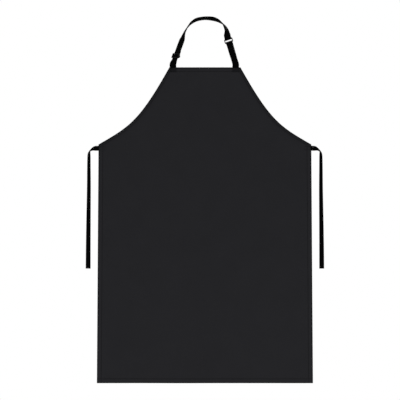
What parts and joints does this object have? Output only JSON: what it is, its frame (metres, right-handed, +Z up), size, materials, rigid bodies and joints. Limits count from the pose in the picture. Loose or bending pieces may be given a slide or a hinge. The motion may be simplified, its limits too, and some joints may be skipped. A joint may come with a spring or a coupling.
{
  "type": "bib apron",
  "caption": "Plain full-length bib apron with turned hems, an adjustable webbing neck strap with ring and slider, and a tape tie at each side of the waist.",
  "frame": {"origin": "under the top of the neck strap, on the middle of its inner face, where a neck or a peg holds the apron", "axes": "+Z up, -Y the way the apron's front faces, +X to the right as seen from the front"},
  "size_m": [0.7174, 0.1017, 1.1048],
  "materials": {
    "cloth": "matt charcoal twill",
    "thread": "matt black sewing thread",
    "webbing": "black ribbed webbing",
    "tape": "black woven tape",
    "plastic": "satin black moulded plastic"
  },
  "bodies": {
    "neck_loop": {"neck_strap": "webbing", "strap_slack": "webbing", "ring_strap": "webbing", "ring_strap_bartack": "thread"},
    "ring": {"ring": "plastic"},
    "slider": {"slider": "plastic", "strap_end_loop": "webbing", "end_loop_bartack": "thread"},
    "panel": {"panel": "cloth", "bib_hem": "cloth", "bottom_hem": "cloth", "left_armhole_hem": "cloth", "right_armhole_hem": "cloth", "left_side_hem": "cloth", "right_side_hem": "cloth", "bib_seam": "thread", "bottom_seam": "thread", "left_armhole_seam": "thread", "right_armhole_seam": "thread", "left_side_seam": "thread", "right_side_seam": "thread", "left_foot_stitches": "thread", "right_foot_stitches": "thread", "left_tab_stitches": "thread", "right_tab_stitches": "thread", "left_strap_foot": "webbing", "right_strap_foot": "webbing", "left_tie_tab": "tape", "right_tie_tab": "tape"},
    "left_tie_root": {"left_tie_root": "tape"},
    "left_tie_fall": {"left_tie_fall": "tape"},
    "right_tie_root": {"right_tie_root": "tape"},
    "right_tie_fall": {"right_tie_fall": "tape"}
  },
  "joints": [
    {"name": "bib_swing", "type": "hinge", "parent": "neck_loop", "child": "panel", "pos_m": [0, -0.08394, -0.14673], "axis": [-1, 0, 0], "range_deg": [-25, 60]},
    {"name": "ring_rock", "type": "hinge", "parent": "neck_loop", "child": "ring", "pos_m": [0.0714, -0.06294, -0.06723], "axis": [0.9317, -0.1689, 0.3217], "range_deg": [-8, 8]},
    {"name": "slider_slide", "type": "slide", "parent": "neck_loop", "child": "slider", "axis": [0.3274, 0.2865, 0.9004], "range_m": [0, 0.03], "deforming": ["strap_slack"]},
    {"name": "left_tie_wrap", "type": "hinge", "parent": "panel", "child": "left_tie_root", "pos_m": [-0.321, -0.08414, -0.39103], "axis": [0, 0, -1], "range_deg": [-60, 90]},
    {"name": "left_tie_lift", "type": "hinge", "parent": "left_tie_root", "child": "left_tie_fall", "pos_m": [-0.3459, -0.08414, -0.39943], "axis": [-0.2021, 0.9659, 0.1617], "range_deg": [0, 90]},
    {"name": "right_tie_wrap", "type": "hinge", "parent": "panel", "child": "right_tie_root", "pos_m": [0.321, -0.08414, -0.39103], "axis": [0, 0, 1], "range_deg": [-60, 90]},
    {"name": "right_tie_lift", "type": "hinge", "parent": "right_tie_root", "child": "right_tie_fall", "pos_m": [0.3459, -0.08414, -0.39943], "axis": [-0.2021, -0.9659, -0.1617], "range_deg": [0, 90]}
  ]
}
